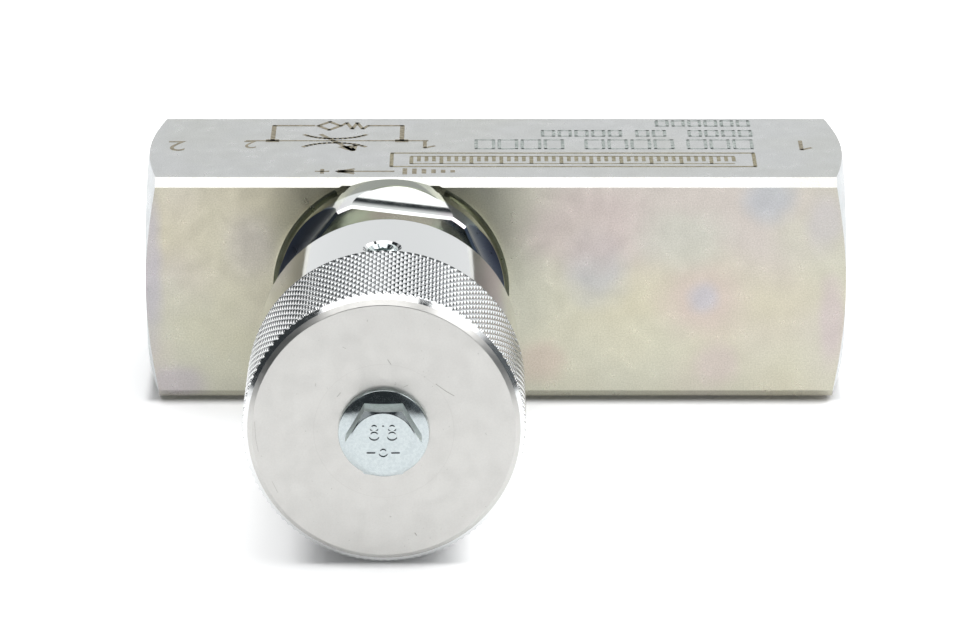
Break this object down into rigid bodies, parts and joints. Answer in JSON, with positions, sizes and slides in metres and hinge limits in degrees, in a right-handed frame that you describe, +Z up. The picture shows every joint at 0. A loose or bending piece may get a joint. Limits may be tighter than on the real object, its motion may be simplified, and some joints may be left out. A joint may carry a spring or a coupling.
{
  "type": "in-line flow control valve",
  "caption": "In-line hydraulic flow control valve: square steel bar body with threaded ports, knurled throttle knob and built-in check valve.",
  "frame": {"origin": "on the body's bottom face (Z = 0), straight under the crossing of the port axis and the knob axis", "axes": "+X along the port axis towards port 1, -Y along the knob axis towards the knob, +Z up out of the marked top face"},
  "size_m": [0.0916, 0.0911, 0.0344],
  "materials": {
    "zinc_plated_steel": "ground and zinc plated with pale yellow passivation",
    "zinc_plated_turned": "turned, bright zinc plated",
    "knob_aluminium": "turned satin, knurled",
    "bolt_zinc": "bright zinc plated",
    "spindle_steel": "ground",
    "spring_steel": "oiled",
    "bush_bronze": "machined",
    "nitrile": "matt",
    "ptfe": "matt",
    "wiper_urethane": "matt",
    "nylon": "matt"
  },
  "bodies": {
    "valve": {"valve_body": "zinc_plated_steel", "bonnet": "zinc_plated_turned", "bonnet_o_ring": "nitrile", "bonnet_backup_ring": "ptfe", "guide_bush": "bush_bronze", "wiper_ring": "wiper_urethane", "check_spring_retainer": "spindle_steel", "check_circlip": "spring_steel", "check_spring": "spring_steel"},
    "throttle_carrier": {"throttle_needle": "spindle_steel", "spindle_o_ring": "nitrile", "spindle_backup_ring": "ptfe"},
    "adjuster": {"spindle": "spindle_steel", "spindle_stop_ring": "spring_steel", "adjusting_knob": "knob_aluminium", "knob_drive_pin": "spindle_steel", "knob_bolt": "bolt_zinc"},
    "lock_pad": {"lock_pad": "nylon"},
    "lock_screw": {"lock_grub_screw": "bolt_zinc"},
    "check_poppet": {"check_poppet": "spindle_steel"}
  },
  "joints": [
    {"name": "throttle_feed", "type": "slide", "parent": "valve", "child": "throttle_carrier", "axis": [0, 1, 0], "range_m": [0, 0.008]},
    {"name": "knob_turn", "type": "hinge", "parent": "throttle_carrier", "child": "adjuster", "pos_m": [0, -0.05, 0.015], "axis": [0, 1, 0], "range_deg": [0, 2880]},
    {"name": "lock_pad_feed", "type": "slide", "parent": "adjuster", "child": "lock_pad", "axis": [0.0297, 0, -0.9996], "range_m": [-0.0007, 0.0003]},
    {"name": "lock_screw_turn", "type": "hinge", "parent": "lock_pad", "child": "lock_screw", "pos_m": [-0.00049, -0.0493, 0.03149], "axis": [0.0297, 0, -0.9996], "range_deg": [-360, 154.3]},
    {"name": "check_open", "type": "slide", "parent": "valve", "child": "check_poppet", "axis": [1, 0, 0], "range_m": [0, 0.004], "stiffness_N_per_m": 500, "springref_m": -0.004, "deforming": ["check_spring"]}
  ],
  "couplings": [
    {"joint": "knob_turn", "follows": "throttle_feed", "rad_per_m": 6283},
    {"joint": "lock_screw_turn", "follows": "lock_pad_feed", "rad_per_m": 8976}
  ]
}
